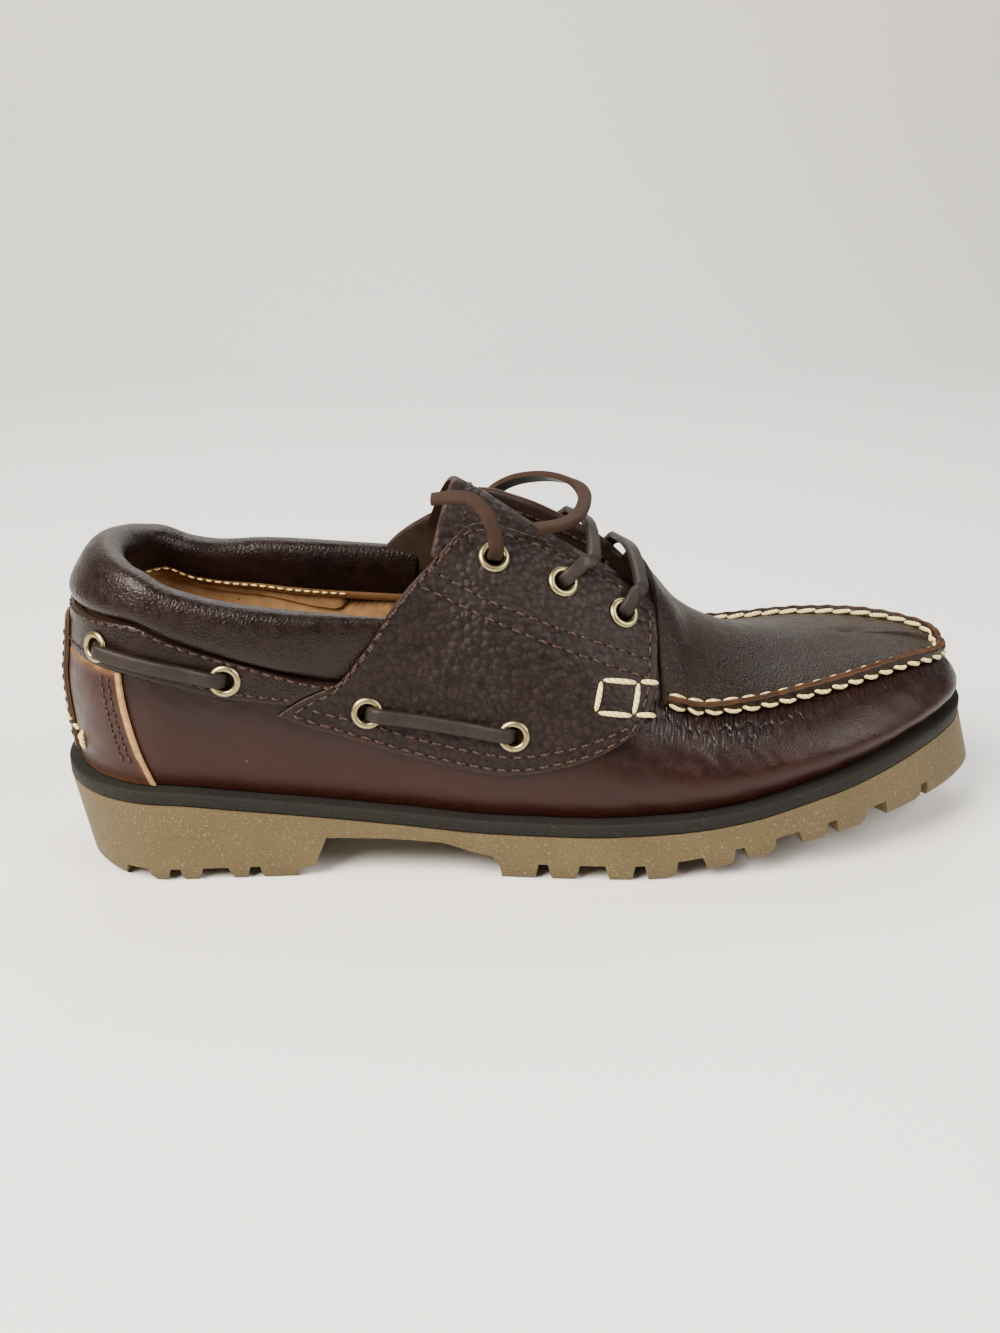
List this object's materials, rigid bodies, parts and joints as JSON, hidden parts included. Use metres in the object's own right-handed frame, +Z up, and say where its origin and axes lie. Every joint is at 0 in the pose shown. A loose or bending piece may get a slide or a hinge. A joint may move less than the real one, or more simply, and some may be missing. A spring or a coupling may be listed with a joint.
{
  "type": "boat shoe",
  "caption": "Low leather boat shoe with moccasin toe seam, pebbled saddle, padded collar, side lacing and a notched gum rubber sole.",
  "frame": {"origin": "centre of the shoe's footprint box, on the floor under the tread", "axes": "+X towards the toe, +Y towards the inner side of the foot, +Z up"},
  "size_m": [0.305, 0.107, 0.1222],
  "materials": {
    "gum_rubber": "moulded, speckled gum rubber",
    "dark_rubber": "dark moulded rubber",
    "footbed_leather": "smooth tan leather",
    "vamp_leather": "glossy oiled burgundy brown leather",
    "plug_leather": "fine grained dark brown leather",
    "pebbled_leather": "pebbled dark brown leather",
    "collar_leather": "smooth dark brown leather",
    "lace_leather": "flat brown leather lace",
    "eyelet_brass": "aged brass"
  },
  "bodies": {
    "root": {"outsole": "gum_rubber", "midsole": "dark_rubber", "insole": "footbed_leather", "upper": "vamp_leather", "plug": "plug_leather", "saddle_lateral": "pebbled_leather", "saddle_medial": "pebbled_leather", "band": "collar_leather", "counter": "vamp_leather", "heel_strip": "collar_leather", "collar": "collar_leather", "tongue": "pebbled_leather", "eyelet_lateral_1": "eyelet_brass", "eyelet_lateral_2": "eyelet_brass", "eyelet_lateral_3": "eyelet_brass", "side_eyelet_lateral_1": "eyelet_brass", "side_eyelet_lateral_2": "eyelet_brass", "side_eyelet_lateral_3": "eyelet_brass", "side_eyelet_lateral_4": "eyelet_brass", "eyelet_medial_1": "eyelet_brass", "eyelet_medial_2": "eyelet_brass", "eyelet_medial_3": "eyelet_brass", "side_eyelet_medial_1": "eyelet_brass", "side_eyelet_medial_2": "eyelet_brass", "side_eyelet_medial_3": "eyelet_brass", "side_eyelet_medial_4": "eyelet_brass", "side_lace_lateral_rear": "lace_leather", "side_lace_lateral_front": "lace_leather", "side_lace_medial_rear": "lace_leather", "side_lace_medial_front": "lace_leather", "lace_bar_middle": "lace_leather", "lace_bar_front": "lace_leather", "lace_end_lateral": "lace_leather", "lace_end_medial": "lace_leather"}
  },
  "joints": []
}
